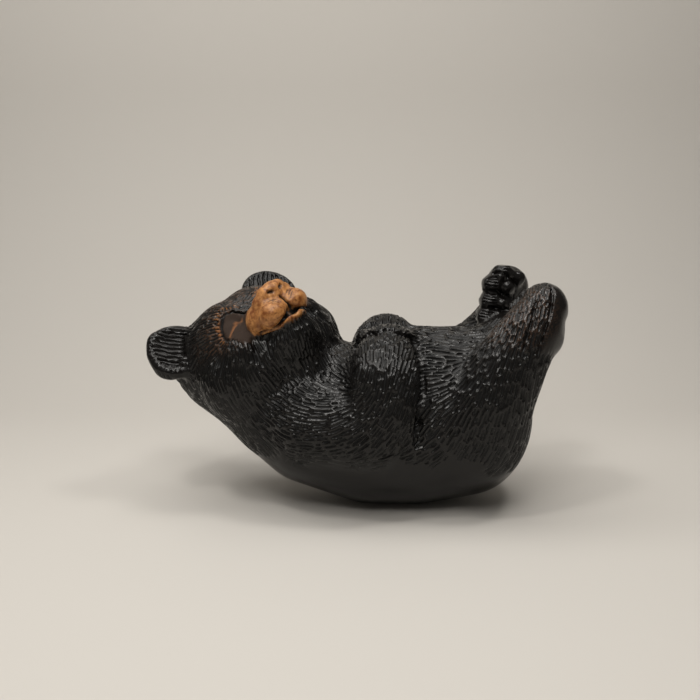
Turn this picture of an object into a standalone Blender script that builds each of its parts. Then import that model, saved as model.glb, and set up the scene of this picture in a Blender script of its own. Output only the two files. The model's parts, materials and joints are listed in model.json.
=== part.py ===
"""A glazed ceramic bear cub that lies on its back, head turned to one side, forepaws on its
belly and hind feet in the air. It is one slip-cast piece and so one solid.

The frame: the cub lies along X, its head at -X and its hind feet at +X, its belly up.
The origin is the middle of the figure's outline on the table, and +Z is up.
The cub's right side, at -Y, is the side that it is looked at from.
"""

import bmesh
import bpy
import numpy as np
from mathutils import Matrix, Vector

# The figure's length over all, from the near ear to the hind feet.
LENGTH = 0.208
# The pose and the forms are shares of the length: one share is 1/208 of it.
SHARE = LENGTH / 208

# Sizes that the potter could set one by one.
EAR_RADIUS = 0.0162
EAR_RIM = 0.0038
EAR_BOWL_DEPTH = 0.0016
SKULL_RADIUS = 0.0285
MUZZLE_REACH = 0.0510
MOUTH_WIDTH = 0.0036
MOUTH_DEPTH = 0.0014
EYE_SOCKET_RADIUS = 0.0082
EYE_SOCKET_DEPTH = 0.0034
FINGER_RADIUS = 0.0043
TOE_RADIUS = 0.0047
PAD_RADIUS = 0.0044
CREASE_WIDTH = 0.0060
CREASE_DEPTH = 0.0032
# How much of the round back is cut off, so that the figure stands still.
FLAT_CUT = 0.0016

# Mesh sizes.
COARSE_VOXEL = 2.2 * SHARE
FINE_VOXEL = 1.25 * SHARE
TRIANGLES = 9300

# The head's own frame: which way the cub looks, and where the top of its head points.
HEAD_CENTRE = Vector((-52.0, 4.0, 82.2)) * SHARE
HEAD_LOOKS = Vector((0.243, -0.661, 0.710)).normalized()
HEAD_CROWN = Vector((-0.700, 0.387, 0.600)).normalized()


def head_matrix():
    """The head's frame: X to the cub's left, Y to the crown, Z the way it looks."""
    looks = HEAD_LOOKS
    left = HEAD_CROWN.cross(looks).normalized()
    crown = looks.cross(left).normalized()
    turn = Matrix((left, crown, looks)).transposed().to_4x4()
    return Matrix.Translation(HEAD_CENTRE) @ turn


HEAD = head_matrix()
BODY = Matrix.Identity(4)


def shares(*values):
    """A point or a set of radii, from shares of the figure's length."""
    return Vector(values) * SHARE


def blob(place, centre, radii):
    """An egg-shaped mass of clay."""
    bpy.ops.mesh.primitive_uv_sphere_add(segments=24, ring_count=16, radius=1.0)
    egg = bpy.context.object
    size = Matrix.Diagonal((*radii, 1.0))
    egg.data.transform(place @ Matrix.Translation(centre) @ size)
    return egg


def limb(place, stations, beads=7):
    """A tapering limb: eggs strung closely along a path. A station is (centre, radii)."""
    made = []
    for (start, start_radii), (end, end_radii) in zip(stations, stations[1:]):
        for step in range(beads):
            along = step / beads
            centre = start.lerp(end, along)
            made.append(blob(place, centre, start_radii.lerp(end_radii, along)))
    made.append(blob(place, *stations[-1]))
    return made


def mirrored(point):
    """The same point on the cub's left side."""
    return Vector((point.x, -point.y, point.z))


def joined(name, pieces):
    """One object of all the pieces."""
    bpy.ops.object.select_all(action="DESELECT")
    for piece in pieces:
        piece.select_set(True)
    bpy.context.view_layer.objects.active = pieces[0]
    bpy.ops.object.join()
    whole = bpy.context.object
    whole.name = name
    return whole


def applied(obj, kind, **settings):
    """Adds one modifier and applies it."""
    modifier = obj.modifiers.new(kind.title(), kind)
    for name, value in settings.items():
        setattr(modifier, name, value)
    bpy.context.view_layer.objects.active = obj
    bpy.ops.object.modifier_apply(modifier=modifier.name)


def fused(obj, voxel, rounds):
    """Melts overlapping masses into one skin and softens the seams between them."""
    applied(obj, "REMESH", mode="VOXEL", voxel_size=voxel)
    applied(obj, "SMOOTH", factor=0.5, iterations=rounds)


def torso():
    """Back, belly and rump: a deep boat shape that rests on its keel."""
    return limb(
        BODY,
        [
            (shares(-42, 1, 57), shares(29, 33, 31)),
            (shares(-25, 0, 47), shares(31, 41, 36)),
            (shares(6, 0, 43), shares(34, 44, 43)),
            (shares(30, 0, 47.0), shares(34, 45, 47.5)),
            (shares(57, 0, 49), shares(34.5, 43, 44.5)),
        ],
        beads=5,
    )


def neck():
    """The thick nape between the ears and the shoulders, and the throat under the jaw."""
    nape = [
        (shares(-66, 9, 73), shares(29.5, 30, 29.5)),
        (shares(-53, 5.5, 65), shares(30.8, 33, 31.5)),
        (shares(-40, 2, 57), shares(33, 37, 34.5)),
    ]
    throat = [
        (shares(-33, -15, 82), shares(17, 16, 15)),
        (shares(-26, -8, 68), shares(22, 25, 20)),
    ]
    return limb(BODY, nape, beads=4) + limb(BODY, throat, beads=3)


# The right foreleg: shoulder, elbow, forearm and wrist.
FORELEG = [
    (shares(-24, -28, 51), shares(20, 18, 22)),
    (shares(6, -35, 46), shares(19, 17, 19)),
    (shares(13, -36, 58), shares(18, 16, 17)),
    (shares(13.5, -34, 74), shares(18, 15, 15)),
    (shares(14, -25, 82.6), shares(17, 14, 12)),
]
# The right hind leg: hip, thigh, shin and ankle.
RIGHT_HIND_LEG = [
    (shares(58, -24, 46), shares(28, 23, 30)),
    (shares(64.5, -29, 62), shares(23, 20, 20)),
    (shares(73.5, -31, 80), shares(19, 16, 17)),
    (shares(83, -30, 96), shares(16, 14, 15)),
    (shares(87, -28, 104), shares(12, 13, 12)),
]
# The left one is drawn up more steeply.
LEFT_HIND_LEG = [
    (shares(56, 24, 50), shares(29.5, 23, 30)),
    (shares(57, 27, 67), shares(21, 18, 22)),
    (shares(68, 28, 79.5), shares(16.5, 15, 16)),
    (shares(75, 26, 93), shares(12, 13, 13)),
    (shares(79, 23, 103), shares(11, 12, 12)),
]
# The middle of each foot, and how far the right one's toes are curled down.
RIGHT_FOOT = shares(89.8, -25, 107.8)
LEFT_FOOT = shares(79.2, 22, 110.8)
RIGHT_TOES_DROP = 6
# How far each toe leans to the head and rises over the middle of its foot.
TOES = ((-5.5, 8.5), (-10, 3.5), (-11, -5), (-13, -13))


def limbs():
    """Both forelegs and both hind legs, and the clay left between the thighs."""
    made = limb(BODY, FORELEG) + limb(BODY, [(mirrored(c), r) for c, r in FORELEG])
    made += limb(BODY, RIGHT_HIND_LEG) + limb(BODY, LEFT_HIND_LEG)
    web = [
        (shares(62, 0, 70), shares(20, 24, 20)),
        (shares(77, 0, 88), shares(12, 22, 13)),
    ]
    return made + limb(BODY, web, beads=3)


def head_masses():
    """Skull, cheeks, jowls, cheekbones, brows and throat, in the head's frame."""
    skull = Vector((SKULL_RADIUS * 0.9, SKULL_RADIUS, SKULL_RADIUS * 1.05))
    made = [blob(HEAD, shares(0, -4, -14), skull * 1.15)]
    for side in (-1, 1):
        made.append(blob(HEAD, shares(side * 8.5, 4.2, -4), skull))
        made.append(blob(HEAD, shares(side * 20, -11, 1), shares(22.8, 22.3, 22.8)))
        made.append(blob(HEAD, shares(side * 15, -16.5, 13), shares(18, 16, 16)))
        made.append(blob(HEAD, shares(side * 17, -8, 19), shares(14, 13, 13)))
        made.append(blob(HEAD, shares(side * 11, 12, 12), shares(13, 10, 13)))
        made.append(blob(HEAD, shares(side * 24, 9, -14), shares(15, 15, 15)))
    made.append(blob(HEAD, shares(0, -21, 27), shares(16, 11, 14)))
    return made


def ears():
    """Two thick round ears that look forward, each a rim about a shallow bowl, and their roots."""
    made = []
    for side in (-1, 1):
        centre = shares(side * 32.4, 24.4, -5)
        bpy.ops.mesh.primitive_torus_add(
            major_radius=EAR_RADIUS - EAR_RIM,
            minor_radius=EAR_RIM,
            major_segments=32,
            minor_segments=12,
        )
        rim = bpy.context.object
        rim.data.transform(HEAD @ Matrix.Translation(centre))
        made.append(rim)
        bowl = Vector((EAR_RADIUS * 0.85, EAR_RADIUS * 0.85, EAR_RIM))
        made.append(blob(HEAD, centre, bowl))
        made.append(blob(HEAD, shares(side * 27.5, 18, -8), shares(10.5, 10.5, 7)))
    return made


def muzzle():
    """The blunt snout, its two lips, the nose, the short lower jaw and the chin."""
    reach = MUZZLE_REACH
    made = limb(
        HEAD,
        [
            (Vector((0, 0, 0.40 * reach)) + shares(0, -5, 0), shares(16, 15, 12)),
            (Vector((0, 0, 0.62 * reach)) + shares(0, -6, 0), shares(15, 13, 10)),
            (Vector((0, 0, 0.78 * reach)) + shares(0, -6.5, 0), shares(13.3, 12, 8)),
        ],
        beads=4,
    )
    nose = Vector((0, 0, 0.89 * reach)) + shares(0, 0.5, 0)
    made.append(blob(HEAD, nose, shares(7.5, 5, 5.6)))
    for side in (-1, 1):
        lip = Vector((0, 0, 0.82 * reach)) + shares(side * 6.8, -8.5, 0)
        made.append(blob(HEAD, lip, shares(7.8, 6.6, 7.4)))
    jaw = Vector((0, 0, 0.75 * reach)) + shares(0, -15.6, 0)
    made.append(blob(HEAD, jaw, shares(9.5, 4.0, 8.8)))
    chin = Vector((0, 0, 0.60 * reach)) + shares(0, -20.5, 0)
    made.append(blob(HEAD, chin, shares(13.5, 8.5, 12)))
    return made


def forepaws():
    """Two paws laid on the belly, fingers curled towards each other."""
    made = []
    for side in (-1, 1):
        made.append(blob(BODY, shares(15, side * 17, 87.2), shares(14.8, 13, 10.8)))
        for finger in range(4):
            knuckle = shares(2.5 + 8.4 * finger, side * 9.5, 92.4 - 1.4 * abs(finger - 1.5))
            tip = knuckle + shares(0, -side * 5.0, -6)
            size = Vector((FINGER_RADIUS,) * 3)
            made += limb(BODY, [(knuckle, size), (tip, size * 0.9)], beads=3)
    return made


def hind_feet():
    """Two feet whose soles face away from the head. Their toes point at each other."""
    made = []
    for side, foot, drop in ((-1, RIGHT_FOOT, RIGHT_TOES_DROP), (1, LEFT_FOOT, 0)):
        made.append(blob(BODY, foot, shares(11.4, 14, 12)))
        heel = foot + shares(-1.5, side * 2, -15)
        made.append(blob(BODY, heel, shares(12.3, 13, 13)))
        for lean, rise in TOES:
            toe = foot + shares(lean, -side * 11, rise - drop)
            tip = toe + shares(0.5, -side * 4.5, 0)
            size = Vector((TOE_RADIUS * 1.3, TOE_RADIUS, TOE_RADIUS))
            made += limb(BODY, [(toe, size), (tip, size * 0.95)], beads=3)
            pad = tip + shares(8, side * 1.5, -1.8)
            made.append(blob(BODY, pad, Vector((PAD_RADIUS,) * 3)))
    return made


class Clay:
    """The skin's points and normals, worked with a few soft tools."""

    def __init__(self, obj):
        self.mesh = obj.data
        count = len(self.mesh.vertices)
        self.points = np.empty(count * 3)
        self.mesh.vertices.foreach_get("co", self.points)
        self.points = self.points.reshape(-1, 3)
        self.normals = np.empty(count * 3)
        self.mesh.vertices.foreach_get("normal", self.normals)
        self.normals = self.normals.reshape(-1, 3)

    def on_skin(self, place, point):
        """The skin's point nearest to a point of a frame."""
        near = np.linalg.norm(self.points - np.array(place @ point), axis=1)
        return self.points[near.argmin()].copy()

    def press(self, place, centre, radius, depth, along=None):
        """Pushes a soft dent of this depth. A negative depth raises a swelling."""
        away = np.linalg.norm(self.points - self.on_skin(place, centre), axis=1) / radius
        fall = np.clip(1 - away**2, 0, 1) ** 2
        way = -self.normals if along is None else np.array(place.to_3x3() @ along)
        self.points += way * (depth * fall)[:, None]

    def score(self, place, path, width, depth):
        """Cuts a round-bottomed groove along a path of points."""
        line = [self.on_skin(place, point) for point in path]
        away = np.full(len(self.points), np.inf)
        for start, end in zip(line, line[1:]):
            run = end - start
            share = np.clip((self.points - start) @ run / (run @ run), 0, 1)
            nearest = start + share[:, None] * run
            away = np.minimum(away, np.linalg.norm(self.points - nearest, axis=1))
        fall = np.clip(1 - (away / (width / 2)) ** 2, 0, 1) ** 1.5
        self.points -= self.normals * (depth * fall)[:, None]

    def done(self):
        self.mesh.vertices.foreach_set("co", self.points.ravel())
        self.mesh.update()


def carve_face(clay):
    """Eye sockets with closed lids, the mouth line and the ear bowls."""
    for side in (-1, 1):
        eye = shares(side * 15.5, 6, 28)
        clay.press(HEAD, eye, EYE_SOCKET_RADIUS * 1.25, EYE_SOCKET_DEPTH)
        clay.press(HEAD, eye, EYE_SOCKET_RADIUS * 0.8, -EYE_SOCKET_DEPTH * 0.55)
        ear = shares(side * 32.4, 24.4, -5) + Vector((0, 0, EAR_RIM))
        inward = Vector((0, 0, -1))
        clay.press(HEAD, ear, EAR_RADIUS * 0.75, EAR_BOWL_DEPTH, inward)
        mouth = [
            shares(0, -12.5, 47),
            shares(side * 5.5, -14, 46),
            shares(side * 10.5, -14, 39),
            shares(side * 14, -12, 32),
        ]
        clay.score(HEAD, mouth, MOUTH_WIDTH, MOUTH_DEPTH)


def carve_body(clay):
    """The creases that part the limbs from the trunk."""
    for side in (-1, 1):
        elbow = [
            shares(29, side * 22, 92),
            shares(32, side * 33, 86),
            shares(33, side * 40, 72),
            shares(30.5, side * 46, 56),
            shares(30, side * 46, 44),
        ]
        clay.score(BODY, elbow, CREASE_WIDTH, CREASE_DEPTH)


def flat_bottomed(obj):
    """Cuts the underside flat and sets it on the table."""
    mesh = bmesh.new()
    mesh.from_mesh(obj.data)
    geometry = mesh.verts[:] + mesh.edges[:] + mesh.faces[:]
    lowest = min(vertex.co.z for vertex in mesh.verts)
    level = Vector((0, 0, lowest + FLAT_CUT))
    cut = bmesh.ops.bisect_plane(
        mesh, geom=geometry, plane_co=level, plane_no=(0, 0, 1), clear_inner=True
    )
    rim = [item for item in cut["geom_cut"] if isinstance(item, bmesh.types.BMEdge)]
    bmesh.ops.holes_fill(mesh, edges=rim)
    bmesh.ops.translate(mesh, verts=mesh.verts, vec=-level)
    bmesh.ops.triangulate(mesh, faces=mesh.faces)
    mesh.to_mesh(obj.data)
    mesh.free()


def centred(obj):
    """Moves the middle of the outline to the origin, on the table."""
    points = [vertex.co for vertex in obj.data.vertices]
    low = Vector([min(point[axis] for point in points) for axis in range(2)])
    high = Vector([max(point[axis] for point in points) for axis in range(2)])
    middle = (low + high) / 2
    obj.data.transform(Matrix.Translation((-middle.x, -middle.y, 0)))


def glaze():
    """Black glaze over the carved coat."""
    material = bpy.data.materials.new("black_glaze")
    material.use_nodes = True
    shader = material.node_tree.nodes["Principled BSDF"]
    shader.inputs["Base Color"].default_value = (0.012, 0.011, 0.010, 1.0)
    shader.inputs["Roughness"].default_value = 0.25
    shader.inputs["Metallic"].default_value = 0.0
    return material


def bear_cub():
    """Models the figure from the large forms to the small ones."""
    cub = joined("bear_cub", torso() + neck() + limbs() + head_masses())
    fused(cub, COARSE_VOXEL, 9)
    cub = joined("bear_cub", [cub] + ears() + muzzle() + forepaws() + hind_feet())
    fused(cub, FINE_VOXEL, 5)
    clay = Clay(cub)
    carve_face(clay)
    carve_body(clay)
    clay.done()
    full = len(cub.data.polygons) * 2
    applied(cub, "DECIMATE", ratio=TRIANGLES / full)
    flat_bottomed(cub)
    cub.data.shade_smooth()
    cub.data.materials.clear()
    cub.data.materials.append(glaze())
    return cub


def main():
    for obj in list(bpy.data.objects):
        bpy.data.objects.remove(obj)
    figure = bpy.data.collections.new("bear_cub_figurine")
    bpy.context.scene.collection.children.link(figure)
    cub = bear_cub()
    centred(cub)
    for collection in list(cub.users_collection):
        collection.objects.unlink(cub)
    figure.objects.link(cub)


main()
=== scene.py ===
# %% [markdown]
# # A glazed ceramic bear cub
# The real object is a slip-cast figurine, some 21 cm long. The potter cut the cub's coat into the
# wet clay with a small tool, stroke by stroke, then glazed it black, painted the snout tan and
# brushed some brown over the brows. The CAD model has the pose and the large forms. This lesson
# keeps them, and cuts the face and the coat into a finer copy of the same skin.

# %% The frame that everything sits in
import json
import math

import bpy
import numpy as np
from mathutils import Matrix, Vector
from mathutils.kdtree import KDTree

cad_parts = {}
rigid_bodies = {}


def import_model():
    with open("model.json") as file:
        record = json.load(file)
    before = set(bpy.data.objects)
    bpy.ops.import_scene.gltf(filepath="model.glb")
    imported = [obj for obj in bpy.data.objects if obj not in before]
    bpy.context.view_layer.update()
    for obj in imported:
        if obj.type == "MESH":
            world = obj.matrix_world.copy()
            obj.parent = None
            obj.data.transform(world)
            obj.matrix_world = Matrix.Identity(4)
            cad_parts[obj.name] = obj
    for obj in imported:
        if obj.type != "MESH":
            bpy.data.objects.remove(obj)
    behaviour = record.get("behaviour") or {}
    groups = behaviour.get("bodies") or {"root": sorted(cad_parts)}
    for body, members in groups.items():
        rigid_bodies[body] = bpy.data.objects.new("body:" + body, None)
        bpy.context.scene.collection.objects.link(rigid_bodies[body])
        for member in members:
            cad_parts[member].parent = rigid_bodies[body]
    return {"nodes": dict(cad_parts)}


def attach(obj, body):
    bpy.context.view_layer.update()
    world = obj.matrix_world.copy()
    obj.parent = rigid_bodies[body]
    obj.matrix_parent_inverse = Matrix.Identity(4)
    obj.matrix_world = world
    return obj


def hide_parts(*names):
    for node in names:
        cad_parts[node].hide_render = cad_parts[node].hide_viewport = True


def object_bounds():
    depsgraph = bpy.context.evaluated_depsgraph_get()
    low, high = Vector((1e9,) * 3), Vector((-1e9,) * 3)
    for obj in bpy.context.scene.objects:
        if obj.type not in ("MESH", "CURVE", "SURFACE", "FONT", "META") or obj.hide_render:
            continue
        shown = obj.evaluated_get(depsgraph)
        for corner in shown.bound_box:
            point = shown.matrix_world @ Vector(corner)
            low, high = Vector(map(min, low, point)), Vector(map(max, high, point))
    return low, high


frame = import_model()
cad_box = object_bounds()
MM = 0.001
print("CAD box:", [[round(value / MM, 1) for value in corner] for corner in cad_box])

# %% [markdown]
# The camera comes first, because it says which details have to be good. It looks along +Y from a
# little above the table, as someone does who bends down to the figure. The lens follows from how
# many pixels one metre covers at one metre away.

# %% The camera
IMAGE_SIDE = 700
FOCAL_PIXELS = 860
SENSOR_WIDTH = 36.0
CAMERA_HEIGHT = math.radians(14.5)
CAMERA_DISTANCE = 0.450
LOOKS_AT = Vector((0.00326, 0.0, 0.0506))
# The point that the camera looks at lies a little off the middle of the picture.
OFF_MIDDLE = (8, 55)

camera_data = bpy.data.cameras.new("camera")
camera_data.sensor_width = SENSOR_WIDTH
camera_data.lens = FOCAL_PIXELS / IMAGE_SIDE * SENSOR_WIDTH
camera_data.shift_x = -OFF_MIDDLE[0] / IMAGE_SIDE
camera_data.shift_y = OFF_MIDDLE[1] / IMAGE_SIDE
camera = bpy.data.objects.new("camera", camera_data)
bpy.context.scene.collection.objects.link(camera)
way_back = Vector((0, -math.cos(CAMERA_HEIGHT), math.sin(CAMERA_HEIGHT)))
camera.location = LOOKS_AT + way_back * CAMERA_DISTANCE
camera.rotation_euler = (math.radians(90) - CAMERA_HEIGHT, 0, 0)
bpy.context.scene.camera = camera
print("lens:", round(camera_data.lens, 1), "mm")

# %% [markdown]
# The head is turned and tipped, so places on it are awkward to give in the table's axes. A matrix
# gives the head axes of its own: X to the cub's left, Y to the crown and Z the way it looks. Each
# foot gets a matrix as well. The near foot's is the far foot's, mirrored in Y, so that one list of
# toes and pads serves both.

# %% Axes for the head and the feet
HEAD_CENTRE = Vector((-48.74, 4.01, 80.72)) * MM
HEAD_LOOKS = Vector((0.243, -0.661, 0.710)).normalized()
HEAD_CROWN = Vector((-0.700, 0.387, 0.600)).normalized()
head_left = HEAD_CROWN.cross(HEAD_LOOKS).normalized()
head_up = HEAD_LOOKS.cross(head_left)
HEAD = Matrix.Translation(HEAD_CENTRE) @ Matrix((head_left, head_up, HEAD_LOOKS)).transposed().to_4x4()
BODY = Matrix.Identity(4)
FAR_FOOT = Matrix.Translation(Vector((82.5, 22.0, 109.3)) * MM)
NEAR_FOOT = Matrix.Translation(Vector((93.1, -25.0, 106.3)) * MM) @ Matrix.Diagonal((1, -1, 1, 1))
# The near foot's toes are curled down by this much more.
NEAR_TOES_DROP = 6.0
NEAR_TOES = NEAR_FOOT @ Matrix.Translation((0, 0, -NEAR_TOES_DROP * MM))


def spot(place, point):
    """A point given in millimetres in one of these axes, in metres in the scene."""
    return np.array(place @ (Vector(point) * MM))


def seen_from(place, points):
    """Points of the scene in one of these axes, in millimetres."""
    turn = np.array(place.inverted())
    return (points @ turn[:3, :3].T + turn[:3, 3]) / MM


print("the head's centre:", [round(value / MM, 1) for value in HEAD_CENTRE])

# %% [markdown]
# The CAD skin has facets about 4 mm wide, far too coarse for fur strokes. It could be subdivided,
# but then its long and short triangles would stay long and short. So a copy is rounded with two
# levels of subdivision and then remeshed: voxels give points at an even distance all over, which
# is what carving needs.

# %% A finer copy of the skin
CLAY_POINT_SPACING = 0.42 * MM


def deselect_all():
    """Leaves edit mode and selects nothing."""
    if bpy.context.object and bpy.context.object.mode != "OBJECT":
        bpy.ops.object.mode_set(mode="OBJECT")
    bpy.ops.object.select_all(action="DESELECT")


def pick(*objects):
    """Selects these objects alone. The first is the active one."""
    deselect_all()
    for obj in objects:
        obj.select_set(True)
    bpy.context.view_layer.objects.active = objects[0]


def finish_with(obj, kind, **settings):
    """Adds one modifier and applies it."""
    pick(obj)
    modifier = obj.modifiers.new(kind.title(), kind)
    for name, value in settings.items():
        setattr(modifier, name, value)
    bpy.ops.object.modifier_apply(modifier=modifier.name)


def merged_copy(node, name):
    """A copy of a CAD node's skin, its loose triangles joined at their corners."""
    cad = frame["nodes"][node]
    skin = cad.data.copy()
    copy = bpy.data.objects.new(name, skin)
    bpy.context.scene.collection.objects.link(copy)
    pick(copy)
    bpy.ops.object.mode_set(mode="EDIT")
    bpy.ops.mesh.select_all(action="SELECT")
    bpy.ops.mesh.remove_doubles(threshold=0.00001)
    bpy.ops.object.mode_set(mode="OBJECT")
    return copy


cub = merged_copy("bear_cub", "glazed_bear_cub")
finish_with(cub, "SUBSURF", levels=2, render_levels=2)
print("rounded skin:", len(cub.data.polygons), "faces")

# %% [markdown]
# Small round forms such as the lips, the lids and the toe pads start as spheres, brought to size
# and half sunk in the skin. On their own they would look stuck on. The voxel remesh melts them in,
# and a little smoothing takes the steps of the voxels away.

# %% Small forms that are melted in
# Each row is a form's middle and its three radii. These stand on each side of the head.
HEAD_FORMS = (
    # The lip's lobe, the snout's flank and the wing of the nose.
    ((6.6, -9.0, 41.0), (7.8, 6.2, 8.2)),
    ((9.0, -4.5, 34.0), (7.2, 7.6, 9.0)),
    ((4.0, 0.6, 45.0), (4.4, 4.2, 4.6)),
    # What fills the waist between those three.
    ((6.6, -1.0, 41.0), (5.0, 5.0, 6.2)),
    ((6.8, -1.6, 37.5), (4.8, 5.0, 8.0)),
    # The root of the ear, which runs back into the nape.
    ((35.5, 15.5, -8.5), (5, 5, 9)),
    # The closed lid, a low dome in its socket.
    ((14.8, 5.0, 19.0), (8.4, 8.2, 4.6)),
)
# The lower lip, a thin shelf below the open mouth.
LOWER_LIP = ((0, -16.8, 37.6), (7.6, 1.9, 8.6))
# The pads under the toes, in a foot's axes.
TOE_PADS = (
    ((-2.7, -16.6, 2.2), (3.8, 3.6, 3.9)),
    ((-5.1, -16.7, -6.1), (2.9, 3.3, 3.1)),
    ((-7.9, -17.2, -11.8), (2.4, 2.8, 2.6)),
)
# What fills the gaps between the toes at their backs.
TOE_WEBS = (
    ((-13.2, -13.3, 1.0), (2.4, 2.6, 2.2)),
    ((-14.0, -14.2, -7.4), (2.3, 2.6, 2.2)),
)
VOXEL_SMOOTHING = 14


def pellet(place, centre, radii):
    """A small egg of clay. Its radii are along the axes that it is placed in."""
    deselect_all()
    bpy.ops.mesh.primitive_uv_sphere_add(segments=32, ring_count=20, radius=1.0)
    egg = bpy.context.object
    size = Matrix.Diagonal((*(Vector(radii) * MM), 1.0))
    egg.data.transform(place @ Matrix.Translation(Vector(centre) * MM) @ size)
    return egg


pellets = []
for side in (-1, 1):
    for (x, y, z), radii in HEAD_FORMS:
        pellets.append(pellet(HEAD, (side * x, y, z), radii))
pellets.append(pellet(HEAD, *LOWER_LIP))
for place in (FAR_FOOT, NEAR_TOES):
    for centre, radii in TOE_PADS + TOE_WEBS:
        pad = pellet(place, centre, radii)
        if place.determinant() < 0:
            # A mirrored sphere is inside out.
            pad.data.flip_normals()
        pellets.append(pad)
pick(cub, *pellets)
bpy.ops.object.join()
finish_with(cub, "REMESH", mode="VOXEL", voxel_size=CLAY_POINT_SPACING)
finish_with(cub, "SMOOTH", factor=0.5, iterations=VOXEL_SMOOTHING)
print("clay:", len(cub.data.vertices), "points")

# %% [markdown]
# Behind each foreleg the skin folds into a narrow slit, where a carving tool would slip. On the
# real figure that is a soft valley, thumbed into the clay. The Smooth modifier with a vertex group
# relaxes the skin there and nowhere else.

# %% Soft valleys behind the forelegs
# Down from the chest, on the near side.
VALLEY = [
    (31, -19.6, 88.5), (33.2, -26.8, 84.0), (34.0, -31.7, 78.6), (33.9, -35.7, 71.5),
    (33.2, -38.8, 65.3), (32.1, -41.4, 59.6), (31.7, -41.6, 52.8), (31.4, -42.4, 48.5),
]
VALLEY_REACH = 7.0
VALLEY_ROUNDS = 160


def read(mesh, what):
    """One vector of every point of a mesh, such as its place, as an array."""
    values = np.empty(len(mesh.vertices) * 3, dtype=np.float64)
    mesh.vertices.foreach_get(what, values)
    return values.reshape(-1, 3)


def smooth_step(low, high, value):
    """0 at low, 1 at high, with a soft start and a soft end."""
    share = np.clip((value - low) / (high - low), 0, 1)
    return share * share * (3 - 2 * share)


def away_from(line, points):
    """How far points are from a path, in metres."""
    away = np.full(len(points), np.inf)
    for start, end in zip(line, line[1:]):
        run = end - start
        share = np.clip((points - start) @ run / max(run @ run, 1e-12), 0, 1)
        away = np.minimum(away, np.linalg.norm(points - start - share[:, None] * run, axis=1))
    return away


def mirrored(path):
    """A path in the table's axes, on the far side of the cub."""
    return [(x, -y, z) for x, y, z in path]


clay = read(cub.data, "co")
softened = np.zeros(len(clay))
for path in (VALLEY, mirrored(VALLEY)):
    away = away_from(np.array(path) * MM, clay) / MM
    softened = np.maximum(softened, smooth_step(VALLEY_REACH, VALLEY_REACH / 2, away))
group = cub.vertex_groups.new(name="valleys")
for index in np.flatnonzero(softened > 0.02).tolist():
    group.add([index], softened[index], "REPLACE")
finish_with(cub, "SMOOTH", factor=0.5, iterations=VALLEY_ROUNDS, vertex_group="valleys")
print("softened:", int((softened > 0.02).sum()), "points")

# %% [markdown]
# Carving moves points, and there are a few hundred thousand of them, so it is done on numpy arrays
# and written back once. Every tool moves points along their normals. A tree of the points finds
# those near a tool quickly.

# %% The skin as arrays


def write(mesh, points):
    """Puts every point of a mesh in its new place."""
    mesh.vertices.foreach_set("co", points.ravel())
    mesh.update()


def tree_of(points):
    """A tree that finds the points near a place."""
    tree = KDTree(len(points))
    for index, point in enumerate(points.tolist()):
        tree.insert(point, index)
    tree.balance()
    return tree


points = read(cub.data, "co")
normals = read(cub.data, "normal")
tree = tree_of(points)
print("clay spans", np.round(np.ptp(points, axis=0) / MM, 1), "mm")

# %% [markdown]
# Two tools do all the carving. A thumb presses a soft dent, or raises a mound if its depth is
# negative. A wire loop scores a groove along a path. Both are given in millimetres, and both find
# the skin by themselves, so a place may be a little off.

# %% The two carving tools
# Painted shade: how much each point of a carved line or crease is darkened.
crease_shade = np.zeros(len(points))


def on_skin(place, centre):
    """The skin's point nearest to a place, and its normal."""
    found = tree.find(spot(place, centre))
    return points[found[1]].copy(), normals[found[1]]


def press(place, centre, radius, depth):
    """Pushes a soft dent. A negative depth raises a mound."""
    middle, facing = on_skin(place, centre)
    away = np.linalg.norm(points - middle, axis=1) / (radius * MM)
    fall = np.clip(1 - away**2, 0, 1) ** 2 * (normals @ facing > 0)
    points[:] -= normals * (depth * MM * fall)[:, None]


def laid_on_skin(place, path):
    """A path laid down on the skin, as points about 1.5 mm apart."""
    line = []
    for start, end in zip(path, path[1:]):
        steps = max(1, round(math.dist(start, end) / 1.5))
        for step in range(steps):
            line.append(on_skin(place, Vector(start).lerp(Vector(end), step / steps))[0])
    line.append(on_skin(place, path[-1])[0])
    return np.array(line)


def score(place, path, width, depth, dark=0.0):
    """Cuts a round-bottomed groove along a path, and keeps how much painted shade darkens it."""
    line = laid_on_skin(place, path)
    reach = width * MM / 2
    inside = (points > line.min(axis=0) - reach) & (points < line.max(axis=0) + reach)
    near = np.flatnonzero(inside.all(axis=1))
    fall = np.clip(1 - (away_from(line, points[near]) / reach) ** 2, 0, 1) ** 1.5
    points[near] -= normals[near] * (depth * MM * fall)[:, None]
    crease_shade[near] = np.maximum(crease_shade[near], dark * np.clip(fall * 1.6, 0, 1))


def flipped(path, side):
    """A path in the head's axes, on the side asked for. Paths are given for side 1."""
    return [(side * x, y, z) for x, y, z in path]


# %% [markdown]
# The CAD skin has the large forms, but a hand-made figure isn't quite even. A few broad dents and
# mounds, none deeper than 3 mm, bring the outline to the real one before any detail is cut. They
# could be sculpted, but as rows in a table each of them can be read and changed by itself.

# %% Broad dents and mounds
# All points first move by this much along their normals, because rounding changed the size a bit.
SWELL = -0.1
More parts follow.
